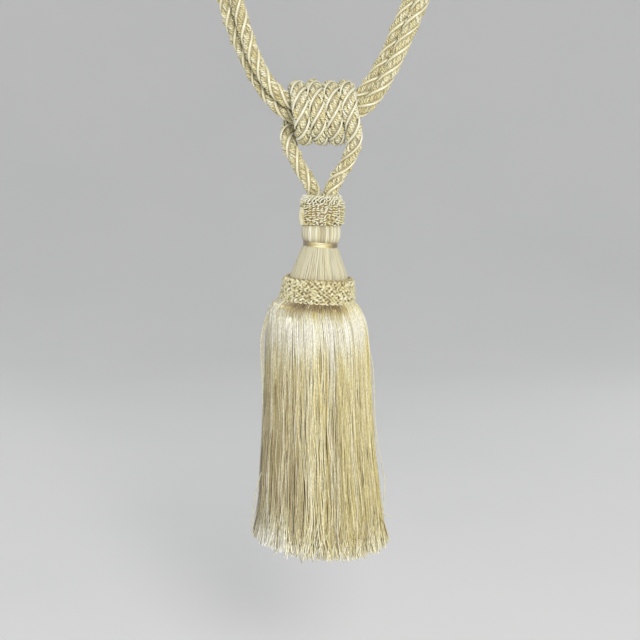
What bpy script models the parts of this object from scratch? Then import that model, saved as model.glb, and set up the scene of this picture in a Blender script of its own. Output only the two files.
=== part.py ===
"""A curtain tieback with a single tassel: a doubled rope embrace, a hanger cord wound round it, and
a tassel with a looped ruff, a silk neck, a yarn cone, a gimp band and a cut skirt.

Units are metres, +Z is up and the front faces -Y. The origin is the point on the wall hook where
both eyes of the embrace bear. Everything else hangs below it.
"""

import math

import bmesh
import bpy
import numpy as np

# The ropes: three fat plies twisted together, with a thin smooth ply in each groove between them. The
# section from one thin ply to the next: (share of the way round, radius).
ROPE_PLIES = 3
PLY_SECTION = ((0.00, 0.0053), (0.21, 0.0050), (0.50, 0.0057), (0.79, 0.0050))
ROPE_LAY = 0.0444
EMBRACE_STEP = 0.0076
HANGER_STEP = 0.0062

# The knot is where the hanger cord is wound round the embrace. Its centre is below the hook.
KNOT_DROP = 0.300
KNOT_TURNS = 4
KNOT_PITCH = 0.0119
KNOT_HALF_HEIGHT = 0.0189
KNOT_HALF_DEPTH = 0.0182
KNOT_FIRST_TOP = -0.0168
KNOT_STEPS = 12

# The embrace's route, from the knot's centre: (x, y, z). It starts in the middle of the knot, runs up
# the left arm, round the left eye and down again, through the knot, and round the right arm's eye
# back into the middle of the knot.
EMBRACE_ROUTE = (
    (-0.0012, 0.0000, 0.0061),
    (-0.0190, -0.0025, 0.0072),
    (-0.0318, -0.0054, 0.0156),
    (-0.0566, -0.0048, 0.0665),
    (-0.0670, -0.0046, 0.1141),
    (-0.0619, -0.0050, 0.1705),
    (-0.0417, -0.0062, 0.2178),
    (-0.0117, -0.0065, 0.2467),
    (0.0094, -0.0065, 0.2680),
    (0.0128, -0.0065, 0.2941),
    (-0.0116, -0.0065, 0.3081),
    (-0.0324, -0.0065, 0.2921),
    (-0.0403, -0.0040, 0.2632),
    (-0.0503, 0.0030, 0.2228),
    (-0.0701, 0.0046, 0.1725),
    (-0.0750, 0.0046, 0.1135),
    (-0.0645, 0.0048, 0.0640),
    (-0.0508, 0.0052, 0.0330),
    (-0.0350, 0.0056, 0.0088),
    (-0.0150, 0.0038, -0.0046),
    (0.0150, -0.0042, -0.0050),
    (0.0345, -0.0056, 0.0056),
    (0.0510, -0.0052, 0.0300),
    (0.0660, -0.0048, 0.0620),
    (0.0826, -0.0046, 0.1072),
    (0.0828, -0.0046, 0.1686),
    (0.0569, -0.0030, 0.2275),
    (0.0433, 0.0040, 0.2669),
    (0.0329, 0.0065, 0.2949),
    (0.0108, 0.0065, 0.3091),
    (-0.0122, 0.0065, 0.2929),
    (-0.0065, 0.0065, 0.2673),
    (0.0163, 0.0065, 0.2479),
    (0.0487, 0.0062, 0.2217),
    (0.0746, 0.0050, 0.1668),
    (0.0748, 0.0046, 0.1088),
    (0.0595, 0.0048, 0.0665),
    (0.0334, 0.0050, 0.0168),
    (0.0216, 0.0024, 0.0070),
    (0.0016, 0.0000, 0.0061),
)

# The hanger's two legs, from the knot's centre: the left one up to the knot, the right one down.
LEFT_LEG = (
    (-0.0043, 0.0009, -0.0650),
    (-0.0044, 0.0010, -0.0590),
    (-0.0108, 0.0015, -0.0465),
    (-0.0198, 0.0026, -0.0300),
    (-0.0236, 0.0072, -0.0180),
    (-0.0222, 0.0152, -0.0092),
)
RIGHT_LEG = (
    (0.0243, -0.0164, -0.0105),
    (0.0250, -0.0118, -0.0215),
    (0.0194, -0.0062, -0.0370),
    (0.0118, -0.0022, -0.0495),
    (0.0077, -0.0011, -0.0590),
    (0.0076, -0.0010, -0.0650),
)

# Turned outlines: (radius, drop below the knot's centre), from the top of the outer side downwards.
RUFF_OUTLINE = (
    (0.0133, 0.0655),
    (0.0134, 0.0622),
    (0.0148, 0.0620),
    (0.0160, 0.0645),
    (0.0169, 0.0675),
    (0.0170, 0.0705),
    (0.0171, 0.0735),
    (0.0168, 0.0765),
    (0.0163, 0.0795),
    (0.0150, 0.0817),
)
BEAD_OUTLINE = (
    (0.0128, 0.0821),
    (0.0137, 0.0832),
    (0.0142, 0.0860),
    (0.0142, 0.0895),
    (0.0138, 0.0925),
    (0.0128, 0.0942),
)
TIE_OUTLINE = (
    (0.0124, 0.0946),
    (0.0130, 0.0952),
    (0.0130, 0.0978),
    (0.0124, 0.0984),
)
TIE_BORE = 0.0113
CONE_OUTLINE = (
    (0.0109, 0.0946),
    (0.0109, 0.0986),
    (0.0129, 0.0989),
    (0.0144, 0.1035),
    (0.0176, 0.1115),
    (0.0208, 0.1195),
    (0.0219, 0.1240),
    (0.0219, 0.1402),
)
BAND_BORE = 0.0223
BAND_OUTLINE = (
    (0.0240, 0.1193),
    (0.0262, 0.1208),
    (0.0270, 0.1232),
    (0.0271, 0.1256),
    (0.0273, 0.1280),
    (0.0275, 0.1304),
    (0.0278, 0.1328),
    (0.0282, 0.1352),
    (0.0287, 0.1376),
    (0.0288, 0.1398),
    (0.0276, 0.1410),
)

# The loops of the two gimp trims and the cone's yarns stand up this far from their outlines.
RUFF_LUMPS = 18
BAND_LUMPS = 26
LUMP_HEIGHT = 0.0008
CONE_YARNS = 22
YARN_HEIGHT = 0.0003
SMOOTH_SIDES = 32

# The skirt hangs from a backing disc under the band. Each row has one lock in each sector.
SECTORS = 56
LOCK_SHARE = 0.80
END_RAGGED = 0.0035
SWAY = 0.0016
BACKING_TOP_DROP = 0.1414
BACKING_FOOT_DROP = 0.1446
BACKING_RINGS = (0.0274, 0.0262, 0.0206, 0.0194, 0.0140)

# One column for each row of locks: (radius, drop, half thickness) down its middle.
OUTER_ROW = (
    (0.0325, 0.1434, 0.0016),
    (0.0364, 0.1478, 0.0017),
    (0.0388, 0.1580, 0.0018),
    (0.0416, 0.1880, 0.0018),
    (0.0440, 0.2400, 0.0018),
    (0.0493, 0.3272, 0.0018),
)
MIDDLE_ROW = (
    (0.0318, 0.1600, 0.0018),
    (0.0382, 0.2200, 0.0018),
    (0.0448, 0.3280, 0.0018),
)
INNER_ROW = (
    (0.0255, 0.1800, 0.0024),
    (0.0380, 0.3285, 0.0026),
)

# How the tassel hangs a little out of true: its axis drifts sideways, and its rings tip.
DRIFT = (
    (0.060, 0.0014),
    (0.090, 0.0007),
    (0.132, -0.0015),
    (0.165, -0.0026),
    (0.215, -0.0015),
    (0.255, -0.0010),
    (0.290, 0.0004),
    (0.330, 0.0000),
)
TIP = (
    (0.080, 0.000),
    (0.092, 0.080),
    (0.099, 0.080),
    (0.118, 0.000),
    (0.150, 0.000),
    (0.330, 0.060),
)

# Materials: base colour and roughness.
ROPE_SILK = ((0.78, 0.72, 0.52, 1.0), 0.42)
GIMP = ((0.72, 0.64, 0.42, 1.0), 0.50)
NECK_SILK = ((0.86, 0.82, 0.64, 1.0), 0.32)
TIE_SILK = ((0.62, 0.53, 0.27, 1.0), 0.40)
SKIRT_YARN = ((0.80, 0.74, 0.52, 1.0), 0.45)


def clear_scene():
    for thing in list(bpy.data.objects):
        bpy.data.objects.remove(thing, do_unlink=True)


def material(name, look):
    colour, roughness = look
    made = bpy.data.materials.new(name)
    made.use_nodes = True
    shader = made.node_tree.nodes["Principled BSDF"]
    shader.inputs["Base Color"].default_value = colour
    shader.inputs["Roughness"].default_value = roughness
    shader.inputs["Metallic"].default_value = 0.0
    return made


def link(thing):
    bpy.context.scene.collection.objects.link(thing)
    return thing


def mesh_object(name, bm, look):
    bmesh.ops.recalc_face_normals(bm, faces=bm.faces)
    mesh = bpy.data.meshes.new(name)
    bm.to_mesh(mesh)
    bm.free()
    mesh.shade_smooth()
    mesh.set_sharp_from_angle(angle=math.radians(50))
    mesh.materials.append(material(name, look))
    return link(bpy.data.objects.new(name, mesh))


def uneven(*seeds):
    """A number from -1 to 1 that looks random and is the same each run."""
    total = sum(seed * factor for seed, factor in zip(seeds, (12.9898, 78.233, 37.719)))
    return 2 * (math.sin(total) * 43758.5453 % 1) - 1


def below_knot(angle, radius, drop):
    """A point of the tassel, at an angle round its axis, where the hanging axis really is."""
    x = radius * math.cos(angle)
    y = radius * math.sin(angle)
    z = -KNOT_DROP - drop - np.interp(drop, *zip(*TIP)) * x
    return (x + np.interp(drop, *zip(*DRIFT)), y, z)


def smooth_path(route, step):
    """Points about one step apart along the natural cubic spline through the route."""
    route = np.array(route, float)
    lengths = np.linalg.norm(np.diff(route, axis=0), axis=1)
    at = np.concatenate([[0], np.cumsum(lengths)])
    count = len(route)
    system = np.eye(count)
    target = np.zeros((count, 3))
    for i in range(1, count - 1):
        before, after = lengths[i - 1], lengths[i]
        system[i, i - 1 : i + 2] = before, 2 * (before + after), after
        rise = (route[i + 1] - route[i]) / after - (route[i] - route[i - 1]) / before
        target[i] = 6 * rise
    bend = np.linalg.solve(system, target)
    fine = np.linspace(0, at[-1], 60 * count)
    i = np.clip(np.searchsorted(at, fine, "right") - 1, 0, count - 2)
    span = lengths[i][:, None]
    late = ((fine - at[i]) / lengths[i])[:, None]
    soon = 1 - late
    line = soon * route[i] + late * route[i + 1]
    line += ((soon**3 - soon) * bend[i] + (late**3 - late) * bend[i + 1]) * span**2 / 6
    along = np.concatenate([[0], np.cumsum(np.linalg.norm(np.diff(line, axis=0), axis=1))])
    marks = np.linspace(0, along[-1], round(along[-1] / step) + 1)
    return np.stack([np.interp(marks, along, line[:, axis]) for axis in range(3)], axis=1)


def rope_section():
    """The outline that both ropes share, with the crests of the fat and the thin plies by turns."""
    curve = bpy.data.curves.new("rope_section", "CURVE")
    curve.dimensions = "2D"
    spline = curve.splines.new("POLY")
    corners = [(ply + share, radius) for ply in range(ROPE_PLIES) for share, radius in PLY_SECTION]
    spline.points.add(len(corners) - 1)
    for point, (place, radius) in zip(spline.points, corners):
        angle = 2 * math.pi * place / ROPE_PLIES
        point.co = (radius * math.cos(angle), -radius * math.sin(angle), 0, 1)
    spline.use_cyclic_u = True
    section = link(bpy.data.objects.new("rope_section", curve))
    section.hide_render = True
    section.display_type = "WIRE"
    return section


def rope(name, path, section):
    """A twisted rope along a path that is given from the knot's centre."""
    curve = bpy.data.curves.new(name, "CURVE")
    curve.dimensions = "3D"
    curve.bevel_mode = "OBJECT"
    curve.bevel_object = section
    curve.use_fill_caps = True
    spline = curve.splines.new("POLY")
    spline.points.add(len(path) - 1)
    step = np.linalg.norm(path[1] - path[0])
    for i, (point, place) in enumerate(zip(spline.points, path)):
        point.co = (place[0], place[1], place[2] - KNOT_DROP, 1)
        point.tilt = 2 * math.pi * i * step / ROPE_LAY
    curve.materials.append(material(name, ROPE_SILK))
    return link(bpy.data.objects.new(name, curve))


def hanger_route():
    """Up the left leg and behind the knot, round it over the top, and down the front as the right leg."""
    turns = []
    first, last = -KNOT_STEPS // 4, KNOT_TURNS * KNOT_STEPS - 3 * KNOT_STEPS // 4
    for step in range(first, last + 1):
        turn = step / KNOT_STEPS
        angle = 2 * math.pi * turn
        x = KNOT_FIRST_TOP + KNOT_PITCH * turn
        y = -KNOT_HALF_DEPTH * math.sin(angle)
        z = KNOT_HALF_HEIGHT * math.cos(angle)
        turns.append((x, y, z))
    return [*LEFT_LEG, *turns, *RIGHT_LEG]


def ring_of(bm, radius, drop, sides, bump=None):
    """A ring of vertices round the axis. bump(i) is how far vertex i stands out."""
    ring = []
    for i in range(sides):
        out = radius + (bump(i) if bump else 0)
        ring.append(bm.verts.new(below_knot(2 * math.pi * i / sides, out, drop)))
    return ring


def join_rings(bm, upper, lower):
    sides = len(upper)
    for i in range(sides):
        j = (i + 1) % sides
        bm.faces.new((upper[i], upper[j], lower[j], lower[i]))


def turned(name, outline, sides, look, bore=None, bump=None, smooth_rows=0):
    """A turned piece. With a bore it is a sleeve. bump(i, row) raises its outer side past smooth_rows."""
    bm = bmesh.new()
    rings = []
    for row, (radius, drop) in enumerate(outline):
        raised = bump and smooth_rows <= row < len(outline) - 1
        row_bump = (lambda i, row=row: bump(i, row)) if raised else None
        rings.append(ring_of(bm, radius, drop, sides, row_bump))
    for upper, lower in zip(rings, rings[1:]):
        join_rings(bm, upper, lower)
    if bore is None:
        bm.faces.new(rings[0])
        bm.faces.new(rings[-1])
    else:
        inner_top = ring_of(bm, bore, outline[0][1], sides)
        inner_foot = ring_of(bm, bore, outline[-1][1], sides)
        join_rings(bm, inner_top, rings[0])
        join_rings(bm, rings[-1], inner_foot)
        join_rings(bm, inner_foot, inner_top)
    return mesh_object(name, bm, look)


def lumps(i, row):
    """Loops of gimp in staggered rows, one on every second vertex."""
    return LUMP_HEIGHT * (1 if (i + row) % 2 else -0.4)


def yarns(i, row):
    return YARN_HEIGHT * (1 if i % 2 else -1)


def lock_ring(bm, sector, row, radius, drop, thickness, slope, loose):
    """The four corners of a lock's section: inner and outer, at its two sides."""
    middle = (sector + 0.5) * 2 * math.pi / SECTORS
    middle += loose * (SWAY / radius * uneven(sector, row) + (row % 2) * math.pi / SECTORS)
    wide = LOCK_SHARE * math.pi / SECTORS
    dr = thickness * math.cos(slope)
    dz = thickness * math.sin(slope)
    corners = []
    for side, out in ((-1, 1), (1, 1), (1, -1), (-1, -1)):
        place = below_knot(middle + side * wide, radius + out * dr, drop - out * dz)
        corners.append(bm.verts.new(place))
    return corners


def lock(bm, root, sector, row, column):
    """Extrude one lock of yarns from the four corners of its root down its column."""
    ring = root
    count = len(column)
    cut = END_RAGGED * uneven(sector, row, 1)
    for level, (radius, drop, thickness) in enumerate(column):
        radius_before, drop_before, _ = column[max(level - 1, 0)]
        radius_after, drop_after, _ = column[min(level + 1, count - 1)]
        slope = math.atan2(radius_after - radius_before, drop_after - drop_before)
        if level == count - 1:
            drop += cut
        loose = (level + 1) / count
        lower = lock_ring(bm, sector, row, radius, drop, thickness, slope, loose)
        join_rings(bm, ring, lower)
        ring = lower
    bm.faces.new(ring)


def build_skirt():
    """A backing disc whose side and underside grow three rows of locks, one in each sector."""
    bm = bmesh.new()
    angles = []
    for sector in range(SECTORS):
        middle = (sector + 0.5) * 2 * math.pi / SECTORS
        wide = LOCK_SHARE * math.pi / SECTORS
        angles += [middle - wide, middle + wide]
    places = [(BACKING_RINGS[0], BACKING_TOP_DROP)]
    places += [(radius, BACKING_FOOT_DROP) for radius in BACKING_RINGS]
    rings = []
    for radius, drop in places:
        rings.append([bm.verts.new(below_knot(angle, radius, drop)) for angle in angles])
    bm.faces.new(rings[0])
    bm.faces.new(rings[-1])
    columns = {0: OUTER_ROW, 2: MIDDLE_ROW, 4: INNER_ROW}
    for band, (upper, lower) in enumerate(zip(rings, rings[1:])):
        for i in range(2 * SECTORS):
            j = (i + 1) % (2 * SECTORS)
            if band in columns and i % 2 == 0:
                root = [upper[i], upper[j], lower[j], lower[i]]
                lock(bm, root, i // 2, band // 2, columns[band])
            else:
                bm.faces.new((upper[i], upper[j], lower[j], lower[i]))
    return mesh_object("skirt", bm, SKIRT_YARN)


def main():
    clear_scene()
    section = rope_section()
    rope("embrace_rope", smooth_path(EMBRACE_ROUTE, EMBRACE_STEP), section)
    rope("hanger_cord", smooth_path(hanger_route(), HANGER_STEP), section)
    turned("ruff", RUFF_OUTLINE, 2 * RUFF_LUMPS, GIMP, bump=lumps, smooth_rows=3)
    turned("neck_bead", BEAD_OUTLINE, SMOOTH_SIDES, NECK_SILK)
    turned("tie_band", TIE_OUTLINE, SMOOTH_SIDES, TIE_SILK, bore=TIE_BORE)
    turned("cone", CONE_OUTLINE, 2 * CONE_YARNS, NECK_SILK, bump=yarns, smooth_rows=2)
    turned("gimp_band", BAND_OUTLINE, 2 * BAND_LUMPS, GIMP, bore=BAND_BORE, bump=lumps, smooth_rows=1)
    build_skirt()


main()
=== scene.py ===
"""The looks of a curtain tieback with a single tassel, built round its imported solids.

Units are metres, +Z is up and the front faces -Y. The origin is the point on the wall hook where both
eyes of the embrace bear. Heights on the tassel are given as drops below the centre of the knot.
"""

import math

import bpy
import numpy as np
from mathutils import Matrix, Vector


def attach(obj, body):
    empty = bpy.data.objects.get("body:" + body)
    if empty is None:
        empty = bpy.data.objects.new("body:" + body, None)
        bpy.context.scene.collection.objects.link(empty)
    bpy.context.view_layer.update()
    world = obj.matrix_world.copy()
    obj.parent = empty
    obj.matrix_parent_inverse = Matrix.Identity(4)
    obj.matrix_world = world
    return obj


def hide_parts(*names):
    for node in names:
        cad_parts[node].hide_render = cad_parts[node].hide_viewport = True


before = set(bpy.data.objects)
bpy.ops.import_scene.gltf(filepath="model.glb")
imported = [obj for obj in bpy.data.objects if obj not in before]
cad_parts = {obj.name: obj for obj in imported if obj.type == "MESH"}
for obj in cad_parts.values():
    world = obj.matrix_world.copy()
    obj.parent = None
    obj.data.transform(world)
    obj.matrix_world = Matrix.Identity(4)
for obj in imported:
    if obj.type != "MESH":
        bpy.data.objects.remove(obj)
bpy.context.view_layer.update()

MM = 0.001
TAU = 2 * math.pi
random = np.random.default_rng(1119)

# --- The ropes' routes, as in the part's source ---

ROPE_DIAMETER = 0.0114
KNOT_DROP = 0.300
# The knot's turns, by the rope's line: how many, how far apart, half their height and depth, where the
# first one's top lies, and the points in a turn.
KNOT_TURNS = 4
KNOT_PITCH = 0.0119
KNOT_HALF_HEIGHT = 0.0189
KNOT_HALF_DEPTH = 0.0182
KNOT_FIRST_TOP = -0.0168
KNOT_STEPS = 12

# From the knot's centre: (x, y, z).
EMBRACE_ROUTE = (
    (-0.0012, 0.0000, 0.0061), (-0.0190, -0.0025, 0.0072), (-0.0318, -0.0054, 0.0156),
    (-0.0566, -0.0048, 0.0665), (-0.0670, -0.0046, 0.1141), (-0.0619, -0.0050, 0.1705),
    (-0.0417, -0.0062, 0.2178), (-0.0117, -0.0065, 0.2467), (0.0094, -0.0065, 0.2680),
    (0.0128, -0.0065, 0.2941), (-0.0116, -0.0065, 0.3081), (-0.0324, -0.0065, 0.2921),
    (-0.0403, -0.0040, 0.2632), (-0.0503, 0.0030, 0.2228), (-0.0701, 0.0046, 0.1725),
    (-0.0750, 0.0046, 0.1135), (-0.0645, 0.0048, 0.0640), (-0.0508, 0.0052, 0.0330),
    (-0.0350, 0.0056, 0.0088), (-0.0150, 0.0038, -0.0046), (0.0150, -0.0042, -0.0050),
    (0.0345, -0.0056, 0.0056), (0.0510, -0.0052, 0.0300), (0.0660, -0.0048, 0.0620),
    (0.0826, -0.0046, 0.1072), (0.0828, -0.0046, 0.1686), (0.0569, -0.0030, 0.2275),
    (0.0433, 0.0040, 0.2669), (0.0329, 0.0065, 0.2949), (0.0108, 0.0065, 0.3091),
    (-0.0122, 0.0065, 0.2929), (-0.0065, 0.0065, 0.2673), (0.0163, 0.0065, 0.2479),
    (0.0487, 0.0062, 0.2217), (0.0746, 0.0050, 0.1668), (0.0748, 0.0046, 0.1088),
    (0.0595, 0.0048, 0.0665), (0.0334, 0.0050, 0.0168), (0.0216, 0.0024, 0.0070),
    (0.0016, 0.0000, 0.0061),
)
LEFT_LEG = (
    (-0.0043, 0.0009, -0.0650), (-0.0044, 0.0010, -0.0590), (-0.0108, 0.0015, -0.0465),
    (-0.0198, 0.0026, -0.0300), (-0.0236, 0.0072, -0.0180), (-0.0222, 0.0152, -0.0092),
)
RIGHT_LEG = (
    (0.0243, -0.0164, -0.0105), (0.0250, -0.0118, -0.0215), (0.0194, -0.0062, -0.0370),
    (0.0118, -0.0022, -0.0495), (0.0077, -0.0011, -0.0590), (0.0076, -0.0010, -0.0650),
)

# How the ropes are laid up: three crimped plies of four yarns, twisted against the rope, and three
# smooth shiny plies in the grooves between them. The lays are measured: the smooth plies cross the
# arms every 14.8 mm, the legs every 16.6 mm and the knot's turns every 12.6 mm.
PLIES = 3
PLY_YARNS = 4
EMBRACE_LAY = PLIES * 14.8 * MM
LEG_LAY = PLIES * 16.6 * MM
KNOT_LAY = PLIES * 12.6 * MM
YARN_LAY = 7.8 * MM

# From the rope's line to the middle of a ply, and from the middle of a crimped ply to its yarns.
PLY_PLACE = 3.14 * MM
GLOSS_PLACE = 4.45 * MM
YARN_PLACE = 1.58 * MM
YARN_RADIUS = 1.07 * MM
GLOSS_RADIUS = 1.12 * MM
GLOSS_FLATNESS = 0.82
CORE_RADIUS = 4.2 * MM

# A crimped yarn changes over the length of a lump. The spreads are shares of the sizes above.
LUMP = 4 * MM
YARN_SWING = 0.60
YARN_PLACE_SPREAD = 0.26
YARN_RADIUS_SPREAD = 0.16
GLOSS_RADIUS_SPREAD = 0.09

# Where the hanger is wound round the knot, it is wider along the knot and its smooth plies are thinner.
KNOT_SQUEEZE = 0.24
WOUND_GLOSS_NARROWER = 0.10

# Tones and tints: the middle, what is added where the rope is wound, and the spread.
YARN_TONE = (0.86, 0.03, 0.11)
YARN_TINT = (0.52, 0.15)
GLOSS_TONE = (0.82, 0.02)
GLOSS_TINT = (0.40, -0.30)

# Painted shade between the plies: how far from the rope's line it is deepest and where a ply's top keeps
# its own colour, and how dark the painted shade is at its deepest.
PLY_GROOVE_TO_CREST = (3.9 * MM, 5.5 * MM)
PLY_PAINTED_GROOVE_TONE = 0.64
GLOSS_GROOVE_TO_CREST = (4.8 * MM, 5.4 * MM)
GLOSS_PAINTED_GROOVE_TONE = 0.74

# How fine the meshes and the declared paths are along the ropes.
EMBRACE_RING = 1.36 * MM
HANGER_RING = 0.92 * MM
CORE_RINGS_APART = 3
CORE_SIDES = 8
PATH_STEP = 5 * MM

# --- The tassel's sizes ---

# How the tassel hangs out of true: (drop, shift to the right), as in the part's source but for the
# shoulders under the gimp band, which lie further left here.
DRIFT = (
    (0.060, 0.0014), (0.090, 0.0007), (0.132, -0.0015), (0.139, -0.0024),
    (0.145, -0.0040), (0.153, -0.0026), (0.168, -0.0018), (0.190, -0.0015),
    (0.215, -0.0015), (0.255, -0.0010), (0.290, 0.0004), (0.330, 0.0000),
)
# Its tip: (drop, how much lower a metre further right is). The gimp band, at drops of 0.12 to 0.14, is
# about 3 degrees out of level here and level in the part's source.
TIP = (
    (0.080, 0.000), (0.092, 0.080), (0.099, 0.080), (0.118, 0.010),
    (0.123, 0.055), (0.141, 0.055), (0.158, 0.010), (0.330, 0.060),
)

# Outlines down the outer side: (radius, drop).
RUFF_CORE = (
    (0.0060, 0.0640), (0.0120, 0.0640), (0.0143, 0.0660), (0.0149, 0.0720),
    (0.0149, 0.0765), (0.0140, 0.0815), (0.0080, 0.0818),
)
RUFF_COLUMN = (
    (0.0088, 0.0628), (0.0112, 0.0620), (0.0136, 0.0620), (0.0151, 0.0648),
    (0.0157, 0.0700), (0.0156, 0.0760), (0.0147, 0.0814),
)
BEAD_OUTLINE = (
    (0.0110, 0.0818), (0.0128, 0.0822), (0.0137, 0.0834), (0.0141, 0.0860),
    (0.0141, 0.0895), (0.0137, 0.0925), (0.0130, 0.0943), (0.0120, 0.0950),
)
TIE_DROP = (0.0953, 0.0980)
TIE_RADIUS = 0.0127
TIE_THREADS = 4
TIE_THREAD = 0.46 * MM
TIE_POINTS = 96
TIE_TONE = 0.49
TIE_PAINTED_HIGHLIGHT = 0.42
CONE_OUTLINE = (
    (0.0118, 0.0975), (0.0124, 0.0984), (0.0133, 0.1000), (0.0145, 0.1035),
    (0.0176, 0.1115), (0.0208, 0.1195), (0.0219, 0.1240), (0.0220, 0.1300),
)
BAND_WALL = (
    (0.0222, 0.1214), (0.0236, 0.1212), (0.0244, 0.1222), (0.0250, 0.1250),
    (0.0256, 0.1300), (0.0262, 0.1345), (0.0266, 0.1380), (0.0260, 0.1392),
)

# --- Camera ---

# It looks at a point on the tassel's axis, from in front and a little above, and takes in VIEW_WIDTH there.
VIEW_DROP = 0.154
VIEW_CENTRE = Vector((0, 0, -KNOT_DROP - VIEW_DROP))
VIEW_DISTANCE = 1.19
VIEW_PITCH = math.radians(8)
VIEW_WIDTH = 0.480
SENSOR = 36


def look_at_object():
    data = bpy.data.cameras.new("camera")
    data.sensor_width = SENSOR
    data.lens = SENSOR * VIEW_DISTANCE / VIEW_WIDTH
    camera = bpy.data.objects.new("camera", data)
    bpy.context.scene.collection.objects.link(camera)
    back = Vector((0, -math.cos(VIEW_PITCH), math.sin(VIEW_PITCH)))
    camera.location = VIEW_CENTRE + VIEW_DISTANCE * back
    camera.rotation_euler = (math.pi / 2 - VIEW_PITCH, 0, 0)
    bpy.context.scene.camera = camera


# --- Lines and tubes ---

FINE_POINTS = 60
SHARP_EDGE = math.radians(85)


def smooth_path(route, step):
    """Points about one step apart along the natural cubic spline through the route."""
    route = np.array(route, float)
    lengths = np.linalg.norm(np.diff(route, axis=0), axis=1)
    marks = np.concatenate([[0], np.cumsum(lengths)])
    count = len(route)
    system = np.eye(count)
    target = np.zeros((count, 3))
    for knot in range(1, count - 1):
        before, after = lengths[knot - 1], lengths[knot]
        system[knot, knot - 1 : knot + 2] = before, 2 * (before + after), after
        rise = (route[knot + 1] - route[knot]) / after - (route[knot] - route[knot - 1]) / before
        target[knot] = 6 * rise
    bend = np.linalg.solve(system, target)
    fine = np.linspace(0, marks[-1], FINE_POINTS * count)
    span = np.clip(np.searchsorted(marks, fine, "right") - 1, 0, count - 2)
    length = lengths[span][:, None]
    late = ((fine - marks[span]) / lengths[span])[:, None]
    soon = 1 - late
    line = soon * route[span] + late * route[span + 1]
    line += ((soon**3 - soon) * bend[span] + (late**3 - late) * bend[span + 1]) * length**2 / 6
    return resampled(line, step)


def resampled(line, step):
    """Points about one step apart along a line of close points."""
    run = run_of(line)
    marks = np.linspace(0, run[-1], max(round(run[-1] / step), 1) + 1)
    return np.stack([np.interp(marks, run, line[:, axis]) for axis in range(3)], axis=1)


def run_of(lines):
    """The distance from its start at each point of each line."""
    steps = np.linalg.norm(np.diff(lines, axis=-2), axis=-1)
    start = np.zeros(steps.shape[:-1] + (1,))
    return np.concatenate([start, np.cumsum(steps, axis=-1)], axis=-1)


def unit(vectors):
    return vectors / np.linalg.norm(vectors, axis=-1, keepdims=True)


def carried_frames(lines):
    """Each line's tangents, and two directions across it that are carried along with no twist."""
    tangent = unit(np.gradient(lines, axis=-2))
    across = np.empty_like(lines)
    upright = np.abs(tangent[..., 0, 2:]) > 0.9
    helper = np.where(upright, (1.0, 0.0, 0.0), (0.0, 0.0, 1.0))
    across[..., 0, :] = unit(np.cross(tangent[..., 0, :], helper))
    for point in range(1, lines.shape[-2]):
        last, here = across[..., point - 1, :], tangent[..., point, :]
        across[..., point, :] = unit(last - (last * here).sum(-1, keepdims=True) * here)
    return tangent, across, np.cross(tangent, across)


def scatter(count):
    """A random value for each of count lines, round 0 and about 1 in size."""
    return random.normal(size=(count, 1))


def wander(count, rings, knots):
    """For each of count lines, smooth random values round 0 along it, about 1 in size."""
    marks = np.linspace(0, knots - 1, rings)
    values = random.normal(size=(count, knots))
    return np.stack([np.interp(marks, np.arange(knots), row) for row in values])


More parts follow.
